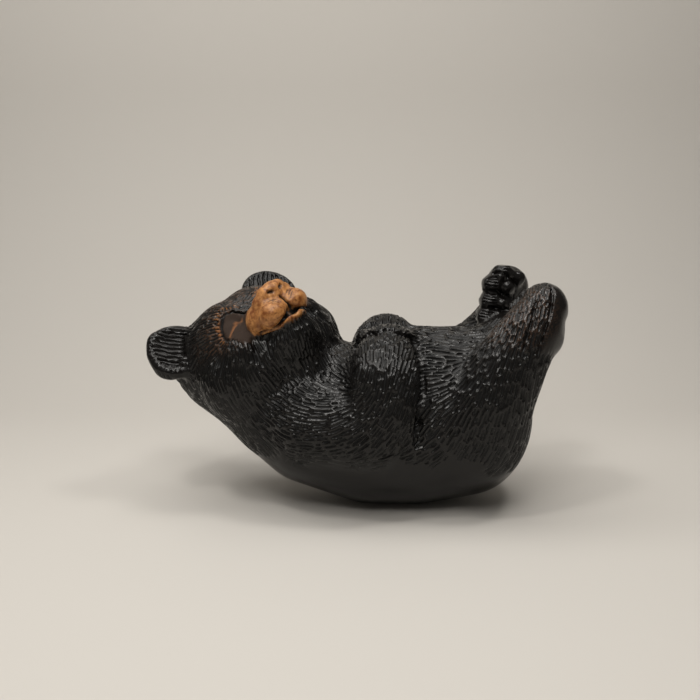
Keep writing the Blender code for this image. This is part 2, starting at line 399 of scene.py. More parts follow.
# Axes, place, radius and depth. A negative depth is a mound.
TRIMS = [
    # The nape, the rump and the near thigh's outline.
    (BODY, (-64, -4, 38), 28, 1.9), (BODY, (97, -28, 88), 24, 1.4), (BODY, (93, -22, 62), 30, 1.4),
    # The near foot's top and heel.
    (BODY, (101, -25, 112), 12, 1.2), (BODY, (92, -25, 119), 10, 0.9), (BODY, (101.5, -27, 99), 8, -1.0),
    # The far foot's top toe, and the dip behind it.
    (BODY, (77, 5, 122), 8, -1.8), (BODY, (87, 14, 119), 9, 1.4),
    # The far cheek, the far paw's front and the belly beside the paw.
    (BODY, (-6, 8, 90), 12, 2.4), (BODY, (4.5, 7, 92), 7, 2.4),
    (BODY, (33, 6, 93), 9, 2.6), (BODY, (43, 4, 92), 12, 0.9),
    # The near ear's lower edge and its upper corner.
    (HEAD, (-45.9, 16.6, -6.2), 8.5, -1.7), (HEAD, (-48.2, 21.5, -5), 7.5, -0.8),
    (HEAD, (-38, 36.5, -3), 6.5, -1.2),
    # Where the near ear runs into the nape.
    (BODY, (-88.5, -3, 62.5), 7, -1.0),
]

points += normals * SWELL * MM
for place, centre, radius, depth in TRIMS:
    press(place, centre, radius, depth)
print("trims:", len(TRIMS))

# %% [markdown]
# The cub is asleep. Its lid is a smooth low dome with a deep crease over the top and a row of lash
# ticks beyond the crease. The nostrils are two small commas, the lip is parted below the nose, and
# the mouth runs along under two round lobes. Nearly all of it is scored along paths that are given
# for one side and flipped for the other.

# %% Face
LID_CREASE = [
    (6.2, 8, 25.5), (9.9, 12.7, 24.3), (14.2, 14.3, 23.4), (19.5, 10.2, 21.4), (22.6, 5, 21), (23.4, 0, 24),
]
# The lashes stand along this line, beyond the crease.
LASH_LINE = [
    (6.8, 15.5, 23.4), (9.9, 17, 22.5), (13.1, 18.3, 21.3), (17.9, 15.2, 21.4), (20.9, 11.9, 20.5),
    (22.5, 7.5, 20.4), (24.0, 3.5, 21.4),
]
LASH_REACH = 1.3
# Two lashes stand on each stretch of that line, at these shares of it, and lean away from here.
LASH_SHARES = (0.25, 0.75)
LID_MIDDLE = (15, 5)
# A faint line is scored across the lid, and an orange streak is coloured along it later.
LID_STREAK = [(23.0, 0.8, 25.3), (20.0, 3.0, 23.6), (15.8, 5.2, 23.4), (11.0, 6.6, 24.6)]
MOUTH = [(0.5, -12.6, 46), (3.4, -14.4, 45.4), (7.6, -14.8, 43), (11.0, -12.6, 38.5), (14.0, -9.6, 34)]
NOSTRIL = [(2.6, -2.0, 49.6), (3.8, -1.2, 48.9)]
# The notch below the eye, where the cheek's fur starts.
NOTCH = [(17.5, -8.5, 31), (19.5, -11, 31), (20.5, -14, 30)]
WRINKLES = 3
# The parting below the nose, and the open mouth between the lobes and the lower lip, with painted shade.
PARTING = [(0, -5.2, 48.3), (0.5, -9.0, 47.6), (0.8, -12.4, 46)]
OPEN_MOUTH = [(-3.8, -14.4, 45.4), (0.5, -14.0, 46), (5.0, -14.6, 45.4)]

for side in (-1, 1):
    score(HEAD, flipped(LID_CREASE, side), 2.1, 1.5, 1.0)
    score(HEAD, flipped(LID_STREAK, side), 1.6, 0.35)
    for start, end in zip(LASH_LINE, LASH_LINE[1:]):
        for share in LASH_SHARES:
            middle = Vector(start).lerp(Vector(end), share)
            away = Vector((middle.x - LID_MIDDLE[0], middle.y - LID_MIDDLE[1], 0))
            out = LASH_REACH * away.normalized()
            score(HEAD, flipped([middle - out, middle + out], side), 1.1, 0.9, 1.0)
    score(HEAD, flipped(NOSTRIL, side), 2.5, 1.7, 0.9)
    score(HEAD, flipped(MOUTH, side), 2.1, 2.0, 1.0)
    score(HEAD, flipped(NOTCH, side), 2.6, 1.3, 0.6)
    for wrinkle in range(WRINKLES):
        low = -4.4 - 1.5 * wrinkle
        score(HEAD, flipped([(6.6, low, 47), (3.4, low - 1.2, 48.5)], side), 0.9, 0.45, 0.7)
score(HEAD, PARTING, 1.8, 1.7, 1.0)
press(HEAD, (0.5, -13.8, 46), 4.0, 1.4)
score(HEAD, OPEN_MOUTH, 4.4, 1.8, 1.0)
print("points with dark lines:", int((crease_shade > 0).sum()))

# %% [markdown]
# Each ear is a round rim about a shallow bowl. The bowl's hair is cut as a row of coarse wavy
# grooves that run towards the head and stop short of it. Fine ticks cross the rim.

# %% Ears
EAR_CENTRE = (32.4, 24.4, -1.2)
EAR_GROOVES = 10
EAR_BOWL_RADIUS = 13.2
EAR_TICKS = 30
# The ticks run from one of these radii to the other.
RIM_RADII = (12.8, 16.4)
# The rim ends where the ear joins the head, at this share of the way.
RIM_END = 0.55
# The way from an ear to the head, in the plane of the ear.
TO_HEAD = (-0.68, -0.73)
ear_dice = np.random.default_rng(3)


def ear_point(along, across):
    """A place on an ear, from how far it is towards the head and how far to the side."""
    x = EAR_CENTRE[0] + along * TO_HEAD[0] + across * TO_HEAD[1]
    y = EAR_CENTRE[1] + along * TO_HEAD[1] - across * TO_HEAD[0]
    return (x, y, EAR_CENTRE[2])


for side in (-1, 1):
    press(HEAD, (side * EAR_CENTRE[0], *EAR_CENTRE[1:]), 13, -0.9)
    for groove in range(EAR_GROOVES):
        off = (groove + 0.5) / EAR_GROOVES * 2 - 1
        half = EAR_BOWL_RADIUS * math.sqrt(1 - off**2 * 0.8)
        across = off * EAR_BOWL_RADIUS * 0.93
        # The grooves end where the head's coat starts, which runs aslant across the ear.
        inner = 2.6 - 0.2 * across + ear_dice.uniform(-1.5, 1.5)
        stops = np.linspace(-half * ear_dice.uniform(0.8, 1.0), inner, 5)
        wave = ear_dice.uniform(-0.55, 0.55, 5)
        path = [ear_point(along, across + shift) for along, shift in zip(stops, wave)]
        score(HEAD, flipped(path, side), 1.9, ear_dice.uniform(1.0, 1.5), 0.8)
    for tick in range(EAR_TICKS):
        angle = math.radians(360 * tick / EAR_TICKS + ear_dice.uniform(-4, 4))
        way = (math.cos(angle), math.sin(angle))
        if way[0] > RIM_END:
            continue
        path = [ear_point(radius * way[0], radius * way[1]) for radius in RIM_RADII]
        score(HEAD, flipped(path, side), 1.0, 0.4, 0.5)
print("grooves in each ear:", EAR_GROOVES)

# %% [markdown]
# The toes are parted by deep gaps, and each has a few ridges across it. Their pads are smooth and
# so is the sole, which a crease sets off from the toes. Two grooves run down the near leg.

# %% Feet
TOES = ((-5.8, -17.4, 12.1), (-11.2, -18.7, 5.4), (-11.4, -19.3, -3.4), (-12.4, -19.3, -11.2))
TOE_RIDGES = 4
TOE_GAPS = (
    [(-10.2, -16.7, 9.2), (-7.3, -19.0, 9.8), (-4.2, -19.4, 9.0), (-3.2, -19.6, 6.4)],
    [(-11.2, -18.0, 0.9), (-7.4, -18, 0.2), (-5.5, -16.2, -1.6)],
    [(-12.0, -18.2, -7.4), (-8.6, -18, -8.6)],
)
SOLE_CREASE = [(-3.2, -19.6, 7.6), (-0.5, -17.8, 5.6), (1.7, -17.1, 3.2), (2.4, -15.5, -0.5), (1, -15, -5)]
# Two grooves run down the near leg, one in its middle and one where the fur meets the sole.
LEG_GROOVES = (
    [(86.5, -36, 109.5), (84.2, -40.4, 103.9), (81.9, -43.5, 95.3), (79.5, -44.8, 89.3)],
    [(93.9, -34.7, 114.8), (92.5, -39.9, 105.1), (89.4, -43.2, 95.2), (86.3, -44.5, 87.1)],
)

for foot, toes in ((FAR_FOOT, FAR_FOOT), (NEAR_FOOT, NEAR_TOES)):
    for path in TOE_GAPS:
        score(toes, path, 2.1, 1.4, 0.6)
    score(toes, SOLE_CREASE, 1.8, 1.0, 0.6)
    for x, y, z in TOES:
        for ridge in range(TOE_RIDGES):
            level = z + 1.5 * (ridge - (TOE_RIDGES - 1) / 2)
            path = [(x - 3.4, y + 2.2, level + 0.5), (x, y, level), (x + 3.0, y + 0.4, level - 0.3)]
            score(toes, path, 1.1, 0.7, 0.6)
for path in LEG_GROOVES:
    score(BODY, path, 2.2, 1.1, 0.6)
print("toes on each foot:", len(TOES))

# %% [markdown]
# The forelegs lie on the chest. A groove darkened with painted shade parts the near one from the
# far paw, the far paw is split into fingers, and behind each foreleg a valley ends in a small round pit.

# %% Forelegs
PAW_LINE = [
    (3.6, -16, 87.5), (5.5, -20.7, 89.8), (8.1, -21.1, 92.5), (12.8, -24.9, 93.2), (15.9, -23.3, 94.9),
    (19.6, -23.3, 94.9), (22.7, -25.2, 93.2), (26.4, -24.5, 92.0), (31, -19.1, 89.5),
]
FINGERS = ([(8.5, 6, 93), (7.5, 0, 91)], [(13, 12, 97), (12.9, 7.4, 93.4)], [(20, 12, 97), (20.2, 7.6, 93.3)])

score(BODY, PAW_LINE, 3.2, 1.5, 0.6)
for pocket in ((10.4, -23.5, 93), (23.5, -25, 93)):
    press(BODY, pocket, 3.0, 1.0)
for path in FINGERS:
    score(BODY, path, 2.2, 1.2, 0.5)
for path in (VALLEY, mirrored(VALLEY)):
    score(BODY, path, 5.0, 1.1)
    press(BODY, path[-2], 2.8, 1.6)
print("lines between the far paw's fingers:", len(FINGERS))

# %% [markdown]
# Now the coat. Strokes follow the way that fur grows, so the skin needs a direction at every
# point. It could be painted by hand, but here it is set by guides: a place and a direction each,
# put down where the coat turns. A point takes the mean of the guides near it. Fur that is combed
# one way and fur that is combed the other look alike as grooves, so the mean is taken of
# directions without a sign, as the main axis of a tensor.

# %% Guides on the head
# Each guide is x, y, z in millimetres and then the direction in tenths, in the head's axes.
HEAD_FLOW = [
    (6, 22, 19, -3, 7, -7), (12, 23, 18, -3, 7, -6), (-2, 20, 20, -9, 4, -2), (-3, 24, 16, -10, -1, 2),
    (-11, 23, 18, -10, 1, -3), (-16, 23, 16, -6, 4, -7), (-21, 22, 13, -3, 5, -8),
    (-22, 27, 3, 2, 4, -9), (-22, 16, 18, -4, 6, -7), (-24, 11, 18, -4, 7, -6),
    (-26, 14, 14, -4, 5, -8), (-26, 8, 17, -6, 3, -7), (-30, 8, 12, -5, 2, -9), (-29, 16, 7, -2, 3, -9),
    (-33, 14, 1, -5, -1, -8), (-27, 2, 19, -6, -1, -8), (-29, -5, 24, -5, -4, -8),
    (-27, -8, 27, -6, -6, -6), (-24, -11, 29, -6, -7, -4), (-33, -5, 17, -7, -5, -5),
    (-32, -10, 19, -6, -6, -6), (-33, 2, 12, -7, -3, -6), (-36, 2, 6, -6, -8, -1),
    (-13, -12, 31, -1, -6, -8), (-10, -16, 37, -2, -8, -5), (-5, -20, 42, -2, -8, -6),
    (-1, -23, 42, -2, -9, -4), (-17, -21, 29, -2, -8, -5), (-23, -16, 28, -4, -7, -6),
    (22, -14, 29, -1, -9, -3), (20, -24, 26, -3, -9, -4), (3, -27, 38, 1, -6, -8),
    (26, -7, 28, -1, -10, 2), (18, -28, 24, -2, -9, -5), (0, 28, -5, 0, 1, -10), (0, 26, 8, 0, 5, -9),
    (0, 22, -28, 0, -5, -9), (14, 24, -22, 0, -5, -9), (25, 12, -30, 0, -6, -8),
    (33, 8, -18, -1, -8, -5), (34, -10, 4, -5, -8, -3),
]
print("guides on the head:", len(HEAD_FLOW))

# %% Guides on the body
# The same, in the table's axes.
BODY_FLOW = [
    (-80, -12, 65, 5, -1, -9), (-76, -11, 58, 6, 1, -8), (-64, -32, 66, 4, -2, -9),
    (-64, -27, 54, 4, 5, -8), (-55, -31, 56, 4, 5, -8), (-63, -11, 40, 5, 2, -8),
    (-56, -20, 39, 6, -1, -8), (-54, -35, 67, 3, 0, -10), (-46, -35, 67, 4, 3, -9),
    (-45, -32, 56, 6, 0, -8), (-38, -35, 70, 5, 4, -8), (-31, -32, 73, 5, 2, -9),
    (-25, -32, 77, 5, 0, -9), (-18, -29, 79, 4, 0, -9), (-15, -25, 84, 2, 1, -10),
    (-10, -18, 83, 3, -8, -6), (-35, -35, 61, 6, -7, -2), (-24, -37, 67, 7, -6, -3),
    (-15, -31, 72, 7, -3, -6), (-8, -26, 75, 5, -6, -6), (-38, -35, 53, 7, -6, -3),
    (-28, -43, 57, 9, -3, -1), (-18, -43, 62, 10, -1, -1), (-8, -40, 65, 9, 3, 3),
    (-4, -32, 70, 8, -6, -2), (-52, -30, 53, 6, 2, -8), (-42, -32, 47, 7, -3, -6),
    (-49, -26, 39, 6, 1, -8), (-57, -27, 50, 4, 5, -8), (-32, -41, 48, 8, -6, -3),
    (-23, -45, 47, 10, -3, 0), (-14, -47, 49, 10, -2, 2), (-5, -48, 53, 9, 0, 5), (3, -48, 57, 7, 0, 7),
    (7, -48, 62, 6, -2, 8), (-5, -45, 59, 9, 1, 3), (-17, -45, 57, 10, -1, 0),
    (-26, -43, 59, 9, -4, -2), (-32, -37, 62, 6, -8, -3), (-20, -41, 65, 9, -4, -3),
    (-11, -42, 63, 10, 0, 0), (-26, -43, 40, 9, -4, -1), (-14, -46, 41, 9, -3, 2),
    (-40, -31, 36, 7, -3, -6), (1, -50, 49, 8, 0, 6), (10, -51, 52, 6, 0, 8), (5, -33, 85, 0, -9, -5),
    (13, -37, 87, 0, -8, -5), (20, -38, 87, -1, -8, -5), (28, -39, 84, -2, -9, -4),
    (14, -48, 74, -1, -2, -10), (23, -48, 74, -3, -3, -9), (32, -41, 75, -2, -6, -8),
    (10, -50, 62, -5, 0, -9), (22, -50, 62, -3, -2, -9), (2, -44, 65, -6, 3, -7),
    (14, -52, 51, -6, 0, -8), (24, -49, 50, -5, 0, -8), (34, -43, 42, -8, -3, -6),
    (-1, -48, 54, -9, 0, -5), (2, -41, 74, -2, -1, -10), (0, -26, 79, 0, -9, -4),
    (6, -22, 89, 1, -10, -3), (14, -28, 92, 0, -10, -2), (24, -27, 92, -1, -10, -2),
    (7, 10, 91, -2, -10, -1), (15, 11, 94, 0, -9, -3), (24, 12, 94, 1, -9, -4), (40, -8, 90, 10, 1, -1),
    (47, -17, 87, 9, -3, -2), (43, -26, 82, 10, -1, -2), (40, -33, 75, 10, 0, 0),
    (42, -38, 69, 9, 2, 2), (38, -39, 65, 8, -5, 5), (57, -4, 89, 9, -4, 0), (61, -16, 86, 10, 1, 1),
    (59, 26, 89, 5, -8, 2), (66, 4, 94, 6, -7, 4), (35, -24, 85, 8, 5, -3), (52, -24, 83, 10, -1, -1),
    (50, -34, 75, -7, -2, -7), (56, -33, 80, -7, 1, -7), (61, -40, 81, -5, -1, -9),
    (65, -39, 88, -6, -1, -8), (68, -42, 88, -4, -3, -9), (71, -40, 94, -4, -3, -9),
    (76, -40, 99, -3, -4, -9), (78, -14, 105, -2, -6, -8), (80, -34, 108, -3, -8, -5),
    (87, -39, 107, -2, -6, -8), (84, -26, 112, -2, -9, -3), (75, -46, 81, -3, -1, -10),
    (68, -48, 70, -2, -1, -10), (61, -48, 62, -3, 0, -9), (53, -43, 65, -5, 1, -8),
    (46, -40, 64, -8, -2, -6), (39, -42, 58, -6, -3, -7), (46, -44, 50, -5, -1, -9),
    (57, -47, 51, -3, 1, -9), (83, -45, 81, -2, 0, -10), (85, -42, 64, 0, 2, -10),
    (81, -41, 52, -2, 1, -10), (76, -33, 24, -7, 0, -7), (69, -47, 49, -2, 1, -10),
    (70, -44, 36, -4, 1, -9), (58, -45, 37, -4, 3, -9), (86, -43, 72, -1, 1, -10),
    (89, -44, 88, -2, 0, -10), (84, -44, 96, -2, -3, -9), (-60, 0, 28, 10, 0, -4),
    (-20, 0, 6, 10, 0, 0), (20, 0, 0, 10, 0, 0), (60, 0, 4, 10, 0, 2), (85, 0, 20, 4, 0, 9),
    (95, 0, 50, 0, 0, 10), (90, 0, 75, -2, 0, 10), (30, 0, 92, 10, 0, 0), (-12, 0, 80, 6, 0, -8),
    (20, -48, 30, 10, 0, -2), (60, -44, 28, 10, 0, 3), (-20, -40, 28, 10, 0, -2),
    (-9, -30, 73, 8, -3, -5), (-4, -28, 75, 7, -4, -6), (-3, -33, 70, 8, -4, -5),
    (-8, -36, 67, 9, -2, -3), (-2, -38, 66, 9, -3, -3),
]
print("guides on the body:", len(BODY_FLOW))


# %% Which way the coat lies
def guides():
    """Every guide on both sides of the cub, as places and unit directions in the scene."""
    places, ways = [], []
    for place, rows, mirror in ((HEAD, HEAD_FLOW, (-1, 1, 1)), (BODY, BODY_FLOW, (1, -1, 1))):
        for x, y, z, *way in rows:
            for flip in ((1, 1, 1), mirror):
                places.append(spot(place, np.array((x, y, z)) * flip))
                ways.append(np.array(place.to_3x3() @ Vector(np.array(way) / 10 * flip).normalized()))
    return np.array(places), np.array(ways)


GUIDE_BLUR = 4.0 * MM
# The points are done in parts of this many, to save memory.
PART_SIZE = 20000


def coat_directions(points, normals):
    """The way the coat lies at each point, in the skin's plane."""
    places, ways = guides()
    facing = np.array([normals[tree.find(place)[1]] for place in places])
    pairs = ((0, 0), (0, 1), (0, 2), (1, 1), (1, 2), (2, 2))
    tensors = np.stack([ways[:, i] * ways[:, j] for i, j in pairs], axis=1)
    result = np.empty_like(points)
    for start in range(0, len(points), PART_SIZE):
        at = slice(start, start + PART_SIZE)
        spread = ((points[at, None] - places[None]) ** 2).sum(axis=2) + GUIDE_BLUR**2
        weight = np.clip(normals[at] @ facing.T + 0.3, 0.02, 1) ** 2 / spread**2
        mean = weight @ tensors
        # A pair of axes in the skin's plane.
        normal = normals[at]
        helper = np.where(np.abs(normal[:, :1]) < 0.7, [[1.0, 0, 0]], [[0, 1.0, 0]])
        first = np.cross(normal, helper)
        first /= np.linalg.norm(first, axis=1)[:, None]
        second = np.cross(normal, first)

        def along(one, two):
            total = np.zeros(len(one))
            for (i, j), column in zip(pairs, mean.T):
                both = one[:, i] * two[:, j] + one[:, j] * two[:, i]
                total += column * (both if i != j else one[:, i] * two[:, i])
            return total

        angle = 0.5 * np.arctan2(2 * along(first, second), along(first, first) - along(second, second))
        result[at] = first * np.cos(angle)[:, None] + second * np.sin(angle)[:, None]
    return result


write(cub.data, points)
points = read(cub.data, "co")
normals = read(cub.data, "normal")
tree = tree_of(points)
directions = coat_directions(points, normals)
print("guides on both sides:", len(guides()[0]))

# %% [markdown]
# The strokes aren't alike all over. They are long and fine on the neck, coarse on the belly and
# short and choppy on the legs. The far side of the cub is done with fewer, wider ones. The snout,
# the lids, the toes, the soles and the underside have none. A few rows say how deep and how long
# the strokes are about each place, and soft masks take the bare places out.

# %% How deep and how long the strokes are
# Place, depth, length and width of a stroke, all in millimetres.
HEAD_COAT = [
    ((0, 24, 10), 0.60, 11, 1.2), ((20, 18, 10), 0.62, 8, 1.2), ((30, 0, 10), 0.66, 9, 1.2),
    ((15, -22, 30), 0.72, 11, 1.3), ((0, 26, -15), 0.55, 8, 1.3),
]
BODY_COAT = [
    ((-60, -30, 50), 0.70, 15, 1.3), ((-20, -38, 62), 0.90, 7, 1.3), ((20, -45, 60), 0.80, 8, 1.3),
    ((15, -30, 88), 0.80, 7, 1.3), ((45, -20, 85), 0.95, 9, 1.6), ((62, -12, 90), 0.95, 9, 1.6),
    ((70, -42, 90), 0.75, 6, 1.3), ((84, -36, 104), 0.65, 5, 1.1), ((65, -45, 50), 0.75, 10, 1.3),
    ((90, -35, 50), 0.75, 15, 1.4), ((0, 0, 5), 0.40, 7, 1.3), ((95, 0, 60), 0.60, 9, 1.4),
]
COAT_BLUR = 8 * MM
# On the far side of the cub the strokes are this much wider and this share as deep.
FAR_SIDE_WIDTH = 1.35
FAR_SIDE_DEPTH = 0.85


def coat_sizes(points):
    """Depth, length and width of the strokes at each point, in metres."""
    rows = []
    for place, table, mirror in ((HEAD, HEAD_COAT, (-1, 1, 1)), (BODY, BODY_COAT, (1, -1, 1))):
        for centre, *sizes in table:
            for flip in ((1, 1, 1), mirror):
                rows.append((*spot(place, np.array(centre) * flip), *sizes))
    total = np.zeros((len(points), 3))
    share = np.zeros(len(points))
    for row in np.array(rows):
        weight = 1 / (((points - row[:3]) ** 2).sum(axis=1) + COAT_BLUR**2) ** 2
        total += weight[:, None] * row[3:]
        share += weight
    sizes = total / share[:, None] * MM
    far = smooth_step(18, 30, points[:, 1] / MM)
    sizes[:, 0] *= 1 + far * (FAR_SIDE_DEPTH - 1)
    sizes[:, 2] *= 1 + far * (FAR_SIDE_WIDTH - 1)
    return sizes


print("rows that set the coat:", len(HEAD_COAT) + len(BODY_COAT))


# %% Masks for the bare places
# Behind a slanting line through here, the cheek stays dark.
CHEEK_LINE = 16
# The lid, the skin towards the snout and the skin below the eye: middle and radii of each oval.
LID_OVALS = (((15.3, 5.6), (8.4, 8.8)), ((11, 3), (7.5, 6)), ((18.2, -3.4), (5.2, 6.4)))


def snout_mask(points):
    """1 on the tan snout, 0 on the coat, with an edge about a millimetre wide."""
    x, y, z = seen_from(HEAD, points).T
    x = np.abs(x)
    # How far back the tan reaches at each height, from the bridge down to the lower lip.
    heights = (-9, -5, 1.8, 4.6, 7.6, 11.0, 14.0, 17.0, 19.0)
    back = np.interp(-y, heights, (28.0, 25.6, 29.0, 31.0, 31.3, 33.8, 37.6, 42.0, 44.0))
    # How far up and how far down it reaches at each distance from the middle.
    top = np.interp(x, (0, 6, 12), (9, 7.5, 6))
    low = np.interp(x, (0, 4, 6, 9.2, 12.3, 14), (-18.0, -17.4, -16.4, -15.7, -14.2, -13))
    edge = np.minimum(np.minimum(z - back, top + 2.0 * np.clip(z - 41, 0, 10) - y), y - low)
    edge = np.minimum(edge, z - CHEEK_LINE - x)
    return smooth_step(-0.5, 0.5, edge)


def lid_mask(points):
    """1 on the lid and on the smooth skin about it, towards the snout and below the eye."""
    x, y, z = seen_from(HEAD, points).T
    x = np.abs(x)
    mask = np.zeros(len(points))
    for middle, radii in LID_OVALS:
        away = np.hypot((x - middle[0]) / radii[0], (y - middle[1]) / radii[1])
        mask = np.maximum(mask, smooth_step(1.0, 0.88, away))
    return mask * (z > 14)


def ear_mask(points):
    """1 on the ears' discs, which have grooves of their own, but not where they join the head."""
    x, y, z = seen_from(HEAD, points).T
    x, y = np.abs(x) - EAR_CENTRE[0], y - EAR_CENTRE[1]
    along = x * TO_HEAD[0] + y * TO_HEAD[1]
    across = x * TO_HEAD[1] - y * TO_HEAD[0]
    disc = smooth_step(17.5, 16.0, np.hypot(x, y)) * (z > -10) * (z < 6)
    return disc * smooth_step(5.5, 3.5, along + 0.2 * across)


def foot_mask(points):
    """1 on the toes, their pads and the soles."""
    mask = np.zeros(len(points))
    for foot, toes in ((FAR_FOOT, FAR_FOOT), (NEAR_FOOT, NEAR_TOES)):
        x, y, z = seen_from(toes, points).T
        inner = smooth_step(-9.5, -12, y) * (y > -24)
        mask = np.maximum(mask, inner * (np.abs(x + 6) < 12) * (np.abs(z + 1) < 16))
        x, y, z = seen_from(foot, points).T
        edge = x + 0.5 - 0.31 * np.clip(z + 1.3, -40, 4)
        # The heel is round below, and between the legs the coat comes back.
        heel = smooth_step(-2, 2, z + 25 - 0.015 * y**2) * smooth_step(-18, -15, y) * (y < 24)
        mask = np.maximum(mask, smooth_step(-1.2, 1.2, edge) * heel)
    return mask


def underside_mask(points):
    """1 where the glaze is smooth: low on the back and the flanks."""
    x, y, z = points.T / MM
    # The edge falls towards the head and the rump, and wavers as a hand-made one does.
    level = 33 - 0.22 * np.clip(-30 - x, 0, 60) - 0.55 * np.clip(x - 62, 0, 40)
    wave = 2.5 * np.sin(x * 0.21) + 2.0 * np.sin(x * 0.47 + 1.3)
    return smooth_step(level + 6, level - 6, z + wave)


# %% The bare places together
BARE_PLACES = (snout_mask, lid_mask, ear_mask, foot_mask, underside_mask)
bare = 1 - np.prod([1 - mask(points) for mask in BARE_PLACES], axis=0)
sizes = coat_sizes(points)
print("bare share of the points:", round(float(bare.mean()), 2))

# %% [markdown]
# Each stroke is traced along the coat's direction both ways from a random point, and stops where it
# comes too near to one that is there already. That is what keeps the comb even. Then every stroke
# is cut as a round groove that is shallow at its ends. The order is drawn from seeded dice, so
# the coat is the same each time.

# %% Tracing and cutting the strokes
STROKE_STEP = 0.5 * MM
# The gap between two strokes of the usual width. Wider strokes stand further apart.
STROKE_GAP = 1.12 * MM
USUAL_WIDTH = 1.2 * MM
SHORTEST = 2.2 * MM
# How bare the skin may be where a stroke starts and where it runs, and how fast strokes thin out.
STARTS_BELOW = 0.5
RUNS_BELOW = 0.6
THINNING = 1.9
dice = np.random.default_rng(11)


def trace(seed, covered, length):
    """Points along one stroke, through a seed point."""
    halves = []
    for way in (1, -1):
        spot_now = points[seed].copy()
        heading = directions[seed] * way
        half = []
        while len(half) * STROKE_STEP < length / 2:
            spot_now = spot_now + heading * STROKE_STEP
            index = tree.find(spot_now)[1]
            if covered[index] or bare[index] > RUNS_BELOW:
                break
            spot_now -= normals[index] * ((spot_now - points[index]) @ normals[index])
            turn = directions[index]
            heading = turn if turn @ heading > 0 else -turn
            half.append(spot_now.copy())
        halves.append(half)
    return halves[1][::-1] + [points[seed].copy()] + halves[0]


def all_strokes():
    """Every stroke, as the point it started from and its line."""
    covered = np.zeros(len(points), dtype=bool)
    strokes = []
    for seed in dice.permutation(len(points)):
        if covered[seed] or bare[seed] > STARTS_BELOW:
            continue
        if dice.random() < bare[seed] * THINNING:
            covered[seed] = True
            continue
        length = sizes[seed, 1] * dice.uniform(0.6, 1.4)
        line = trace(seed, covered, length)
        if len(line) * STROKE_STEP < SHORTEST:
            covered[seed] = True
            continue
        reach = STROKE_GAP * sizes[seed, 2] / USUAL_WIDTH
        for point in line:
            covered[[found[1] for found in tree.find_range(point, reach)]] = True
        strokes.append((seed, line))
    return strokes


def cut(strokes):
    """How deep each point lies in a groove, in metres."""
    depth = np.zeros(len(points))
    for seed, line in strokes:
        width = sizes[seed, 2] * dice.uniform(0.85, 1.15)
        deep = sizes[seed, 0] * dice.uniform(0.75, 1.25) * (1 - 0.6 * bare[seed])
        line = np.array(line)
        along = np.linspace(-1, 1, len(line))
        ends = np.clip(1 - along**4, 0.0, 1) ** 0.8
        ways = np.gradient(line, axis=0)
        ways /= np.linalg.norm(ways, axis=1)[:, None]
        for point, way, end in zip(line, ways, ends):
            found = [item[1] for item in tree.find_range(point, width * 0.62)]
            if not found:
                continue
            offset = points[found] - point
            aside = np.sqrt(np.clip((offset**2).sum(axis=1) - (offset @ way) ** 2, 0, None))
            fall = np.clip(1 - (aside / (width * 0.6)) ** 2, 0, 1) ** 1.3
            depth[found] = np.maximum(depth[found], deep * end * fall)
    return depth


strokes = all_strokes()
groove = cut(strokes)
points -= normals * groove[:, None]
write(cub.data, points)
print("strokes:", len(strokes))

# %% [markdown]
# The clay now has far more triangles than it needs where it is smooth. The Decimate modifier takes
# points away where that changes the shape least, so the grooves stay.

# %% Thinning the skin
MOST_TRIANGLES = 196000
finish_with(cub, "TRIANGULATE")
if len(cub.data.polygons) > MOST_TRIANGLES:
    finish_with(cub, "DECIMATE", ratio=MOST_TRIANGLES / len(cub.data.polygons))
# Nothing may stand out of the CAD box.
thin = np.clip(read(cub.data, "co"), np.array(cad_box[0]), np.array(cad_box[1]))
write(cub.data, thin)
cub.data.shade_smooth()
print("triangles:", len(cub.data.polygons))

# %% [markdown]
# The glazes were put on by hand, and their places follow the carving. A few facts are kept on the
# points for the material to read: how deep each lies in a groove, how much painted shade darkens
# the carved lines, and how much tan and brown was painted there. On the hind legs the brown is
# partly a painted sheen.

# %% Where the colours go
def brown_paint_and_leg_sheen_mask(points):
    """1 about the eyes and on the brows, where brown was brushed on. Less on the hind legs, where the brown
    is partly a painted sheen.
    """
    x, y, z = seen_from(HEAD, points).T
    x = np.abs(x)
    eye = np.hypot((x - 18) / 15, (y - 6) / 16)
    crown = np.hypot(x / 22, (y - 22) / 14)
    head = np.clip(smooth_step(1.2, 0.35, eye) + 0.8 * smooth_step(1.2, 0.3, crown), 0, 1) * (z > -8)
    x, y, z = points.T / MM
    # On the hind legs the brown stands partly for sheen: painted light.
    leg = np.sqrt(((x - 80) / 20) ** 2 + ((np.abs(y) - 32) / 16) ** 2 + ((z - 100) / 24) ** 2)
    return np.maximum(head, 0.6 * smooth_step(1.1, 0.6, leg))


def orange_mask(points):
    """1 along the orange streak across the lid and among the lashes."""
    mask = np.zeros(len(points))
    for side in (-1, 1):
        for path, strength, width in ((LID_STREAK, 0.6, 0.9), (LASH_LINE, 0.8, 2.1)):
            away = away_from(laid_on_skin(HEAD, flipped(path, side)), points) / MM
            mask = np.maximum(mask, strength * smooth_step(width, 0.4 * width, away))
    return mask


def keep(name, values):
    """Stores one number per point under a name that the material can ask for."""
    layer = cub.data.attributes.new(name, "FLOAT", "POINT")
    layer.data.foreach_set("value", np.asarray(values, dtype=np.float32))


# A groove as deep as this counts as 1.
FULL_GROOVE = 0.6 * MM
nearest = [tree.find(point)[1] for point in thin.tolist()]
depths = groove[nearest]
keep("groove", np.clip(depths / FULL_GROOVE, 0, 1))
keep("crease_shade", crease_shade[nearest])
keep("tan", snout_mask(thin))
keep("brown", brown_paint_and_leg_sheen_mask(thin))
keep("orange", orange_mask(thin))
keep("lid", lid_mask(thin))
print("in grooves:", round(float((depths > 0.1 * MM).mean()), 2))

# %% [markdown]
# Black glaze is glass over stained clay. The eye sees a nearly black body, sharp small lights on the
# edges of the strokes and a greyer sheen where they are fine. The snout is painted a mottled tan
# under a thinner, satin glaze, and some brown lies on the ridges about the eyes but not in the
# grooves, because the brush was dry. Colours are given as hex codes, as a paint chart gives them.

